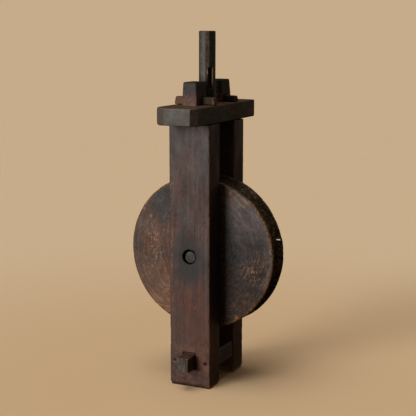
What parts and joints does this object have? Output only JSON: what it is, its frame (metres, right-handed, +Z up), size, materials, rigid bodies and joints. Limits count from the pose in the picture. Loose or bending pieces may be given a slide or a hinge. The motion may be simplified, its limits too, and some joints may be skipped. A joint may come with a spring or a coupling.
{
  "type": "single sheave block",
  "caption": "Free-standing wooden pulley block: grooved sheave on a pin between two cheeks, keyed head beam and a swivel rod on top.",
  "frame": {"origin": "under the middle of the block, on the surface its feet stand on", "axes": "+Z up along the swivel rod, Y along the axle with the front cheek towards -Y, X in the plane of the sheave"},
  "size_m": [0.228, 0.206, 0.5105],
  "materials": {
    "cheek_wood": "dark stained softwood, worn and lightly polished by handling",
    "beam_wood": "dark stained wood with greyed end grain",
    "key_wood": "dark red-brown wood, battered ends",
    "spreader_wood": "dark stained wood, sawn end grain on its tenons",
    "sheave_wood": "end grain of a log with growth rings, rubbed orange-brown at the rim",
    "axle_wood": "grey-brown greasy hardwood",
    "rod_wood": "hand-shaved grey-brown hardwood",
    "nail_iron": "rusted hand-cut iron"
  },
  "bodies": {
    "frame": {"front_cheek": "cheek_wood", "rear_cheek": "cheek_wood", "head_beam": "beam_wood", "front_key": "key_wood", "rear_key": "key_wood", "foot_spreader": "spreader_wood", "nail_front_left": "nail_iron", "nail_front_right": "nail_iron", "nail_rear_left": "nail_iron", "nail_rear_right": "nail_iron"},
    "wheel": {"sheave": "sheave_wood", "axle_pin": "axle_wood"},
    "rod": {"swivel_rod": "rod_wood"}
  },
  "joints": [
    {"name": "sheave_spin", "type": "hinge", "parent": "frame", "child": "wheel", "pos_m": [0, 0, 0.192], "axis": [0, 1, 0], "continuous": true},
    {"name": "rod_swivel", "type": "hinge", "parent": "frame", "child": "rod", "pos_m": [0, 0, 0.45], "axis": [0, 0, 1], "continuous": true}
  ]
}
